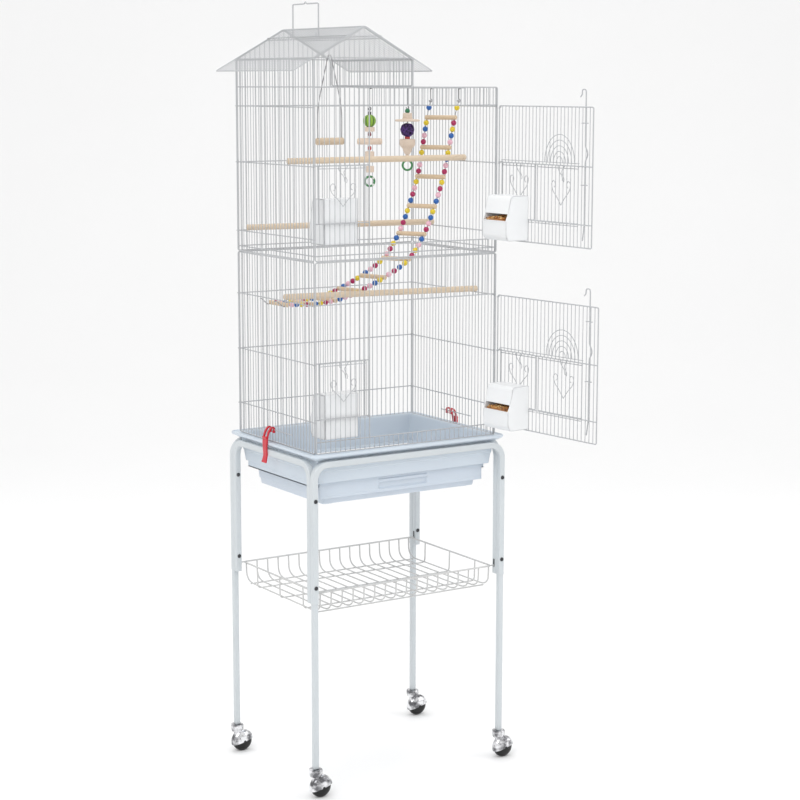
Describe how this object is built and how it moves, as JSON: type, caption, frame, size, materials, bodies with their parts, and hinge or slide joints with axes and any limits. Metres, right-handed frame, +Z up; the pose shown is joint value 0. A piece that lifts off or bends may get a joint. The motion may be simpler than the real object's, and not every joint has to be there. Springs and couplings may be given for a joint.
{
  "type": "bird cage on stand",
  "caption": "Tall wire bird cage with a gabled tower roof, side-hinged doors, plastic base and drawer, on a square-tube stand with a wire basket and swivel casters.",
  "frame": {"origin": "on the floor, under the middle of the whole object's box with both big doors standing open as at rest", "axes": "+Z up; +X along the cage's front, towards the doors' hinges; -Y out of the cage's front"},
  "size_m": [0.5276, 0.6516, 1.5883],
  "materials": {
    "cage_enamel": "glossy off-white enamel on steel wire",
    "stand_enamel": "semi-gloss off-white powder coat on square steel tube",
    "basket_enamel": "glossy off-white coat on steel wire",
    "tub_plastic": "moulded pale blue-grey plastic, semi-gloss",
    "tray_plastic": "moulded pale blue-grey plastic, semi-gloss",
    "feeder_plastic": "translucent milky plastic",
    "clip_plastic": "moulded red plastic",
    "caster_chrome": "bright chrome plate",
    "wheel_plastic": "glossy black plastic",
    "perch_wood": "bare sanded dowel",
    "swing_wire": "bright steel wire",
    "toy_wood": "turned wood and coloured beads",
    "ladder_beads": "coloured wooden beads and pale rungs on wire"
  },
  "bodies": {
    "root": {"lower_front_wall": "cage_enamel", "lower_back_wall": "cage_enamel", "lower_left_wall": "cage_enamel", "lower_right_wall": "cage_enamel", "upper_front_wall": "cage_enamel", "upper_back_wall": "cage_enamel", "upper_left_wall": "cage_enamel", "upper_right_wall": "cage_enamel", "tower_right_wall": "cage_enamel", "flat_top": "cage_enamel", "roof_right_slope": "cage_enamel", "roof_left_slope": "cage_enamel", "upper_strip_feeder": "feeder_plastic", "lower_strip_feeder": "feeder_plastic", "upper_perch": "perch_wood", "middle_perch": "perch_wood", "lower_perch": "perch_wood", "bead_ladder": "ladder_beads", "base_tub": "tub_plastic", "stand_front_frame": "stand_enamel", "stand_back_frame": "stand_enamel", "stand_left_frame": "stand_enamel", "stand_right_frame": "stand_enamel", "front_left_leg": "stand_enamel", "front_right_leg": "stand_enamel", "back_left_leg": "stand_enamel", "back_right_leg": "stand_enamel", "wire_basket": "basket_enamel"},
    "upper_door": {"upper_door": "cage_enamel", "upper_door_feeder": "feeder_plastic"},
    "upper_door_feeder_hatch": {"upper_door_feeder_hatch": "cage_enamel"},
    "upper_door_nest_hatch": {"upper_door_nest_hatch": "cage_enamel"},
    "upper_latch_rod": {"upper_latch_rod": "cage_enamel"},
    "upper_strip_hatch": {"upper_strip_hatch": "cage_enamel"},
    "lower_door": {"lower_door": "cage_enamel", "lower_door_feeder": "feeder_plastic"},
    "lower_door_feeder_hatch": {"lower_door_feeder_hatch": "cage_enamel"},
    "lower_door_nest_hatch": {"lower_door_nest_hatch": "cage_enamel"},
    "lower_latch_rod": {"lower_latch_rod": "cage_enamel"},
    "lower_strip_hatch": {"lower_strip_hatch": "cage_enamel"},
    "pull_out_tray": {"pull_out_tray": "tray_plastic"},
    "left_clip": {"left_clip": "clip_plastic"},
    "right_clip": {"right_clip": "clip_plastic"},
    "swing": {"swing_wire": "swing_wire", "swing_perch": "perch_wood"},
    "ball_toy": {"ball_toy": "toy_wood"},
    "cone_toy": {"cone_toy": "toy_wood"},
    "carry_handle": {"carry_handle": "cage_enamel"},
    "front_left_caster": {"front_left_caster": "caster_chrome"},
    "front_left_wheel": {"front_left_wheel": "wheel_plastic"},
    "front_right_caster": {"front_right_caster": "caster_chrome"},
    "front_right_wheel": {"front_right_wheel": "wheel_plastic"},
    "back_left_caster": {"back_left_caster": "caster_chrome"},
    "back_left_wheel": {"back_left_wheel": "wheel_plastic"},
    "back_right_caster": {"back_right_caster": "caster_chrome"},
    "back_right_wheel": {"back_right_wheel": "wheel_plastic"}
  },
  "joints": [
    {"name": "upper_door_hinge", "type": "hinge", "parent": "root", "child": "upper_door", "pos_m": [0.21429, -0.02012, 1.2485], "axis": [0, 0, 1], "range_deg": [-91, 85]},
    {"name": "upper_door_feeder_hatch_lift", "type": "slide", "parent": "upper_door", "child": "upper_door_feeder_hatch", "axis": [0, 0, 1], "range_m": [0, 0.1]},
    {"name": "upper_door_nest_hatch_lift", "type": "slide", "parent": "upper_door", "child": "upper_door_nest_hatch", "axis": [0, 0, 1], "range_m": [0, 0.1]},
    {"name": "upper_latch_lift", "type": "slide", "parent": "upper_door", "child": "upper_latch_rod", "axis": [0, 0, 1], "range_m": [0, 0.02]},
    {"name": "upper_strip_hatch_lift", "type": "slide", "parent": "root", "child": "upper_strip_hatch", "axis": [0, 0, 1], "range_m": [0, 0.1]},
    {"name": "lower_door_hinge", "type": "hinge", "parent": "root", "child": "lower_door", "pos_m": [0.21429, -0.02012, 0.8625], "axis": [0, 0, 1], "range_deg": [-95, 85]},
    {"name": "lower_door_feeder_hatch_lift", "type": "slide", "parent": "lower_door", "child": "lower_door_feeder_hatch", "axis": [0, 0, 1], "range_m": [0, 0.1]},
    {"name": "lower_door_nest_hatch_lift", "type": "slide", "parent": "lower_door", "child": "lower_door_nest_hatch", "axis": [0, 0, 1], "range_m": [0, 0.1]},
    {"name": "lower_latch_lift", "type": "slide", "parent": "lower_door", "child": "lower_latch_rod", "axis": [0, 0, 1], "range_m": [0, 0.02]},
    {"name": "lower_strip_hatch_lift", "type": "slide", "parent": "root", "child": "lower_strip_hatch", "axis": [0, 0, 1], "range_m": [0, 0.1]},
    {"name": "tray_slide", "type": "slide", "parent": "root", "child": "pull_out_tray", "axis": [0, -1, 0], "range_m": [0, 0.24]},
    {"name": "left_clip_hinge", "type": "hinge", "parent": "root", "child": "left_clip", "pos_m": [-0.21721, 0.15888, 0.736], "axis": [0, 1, 0], "range_deg": [0, 50]},
    {"name": "right_clip_hinge", "type": "hinge", "parent": "root", "child": "right_clip", "pos_m": [0.21659, 0.15888, 0.736], "axis": [0, -1, 0], "range_deg": [0, 50]},
    {"name": "swing_hinge", "type": "hinge", "parent": "root", "child": "swing", "pos_m": [-0.10291, 0.11789, 1.484], "axis": [1, 0, 0], "range_deg": [-30, 30]},
    {"name": "ball_toy_hang", "type": "hinge", "parent": "root", "child": "ball_toy", "pos_m": [0.02009, 0.16389, 1.4199], "axis": [1, 0, 0], "range_deg": [-8, 8]},
    {"name": "cone_toy_hang", "type": "hinge", "parent": "root", "child": "cone_toy", "pos_m": [0.10009, 0.14389, 1.4199], "axis": [1, 0, 0], "range_deg": [-8, 8]},
    {"name": "carry_handle_hinge", "type": "hinge", "parent": "root", "child": "carry_handle", "pos_m": [-0.14241, 0.14389, 1.52299], "axis": [0, -1, 0], "range_deg": [-55, 110]},
    {"name": "front_left_swivel", "type": "hinge", "parent": "root", "child": "front_left_caster", "pos_m": [-0.22691, -0.02402, 0.0617], "axis": [0, 0, 1], "continuous": true},
    {"name": "front_left_roll", "type": "hinge", "parent": "front_left_caster", "child": "front_left_wheel", "pos_m": [-0.21491, -0.02402, 0.02173], "axis": [0, 1, 0], "continuous": true},
    {"name": "front_right_swivel", "type": "hinge", "parent": "root", "child": "front_right_caster", "pos_m": [0.22629, -0.02402, 0.0617], "axis": [0, 0, 1], "continuous": true},
    {"name": "front_right_roll", "type": "hinge", "parent": "front_right_caster", "child": "front_right_wheel", "pos_m": [0.23829, -0.02402, 0.02173], "axis": [0, 1, 0], "continuous": true},
    {"name": "back_left_swivel", "type": "hinge", "parent": "root", "child": "back_left_caster", "pos_m": [-0.22691, 0.31178, 0.0617], "axis": [0, 0, 1], "continuous": true},
    {"name": "back_left_roll", "type": "hinge", "parent": "back_left_caster", "child": "back_left_wheel", "pos_m": [-0.21491, 0.31178, 0.02173], "axis": [0, 1, 0], "continuous": true},
    {"name": "back_right_swivel", "type": "hinge", "parent": "root", "child": "back_right_caster", "pos_m": [0.22629, 0.31178, 0.0617], "axis": [0, 0, 1], "continuous": true},
    {"name": "back_right_roll", "type": "hinge", "parent": "back_right_caster", "child": "back_right_wheel", "pos_m": [0.23829, 0.31178, 0.02173], "axis": [0, 1, 0], "continuous": true}
  ]
}
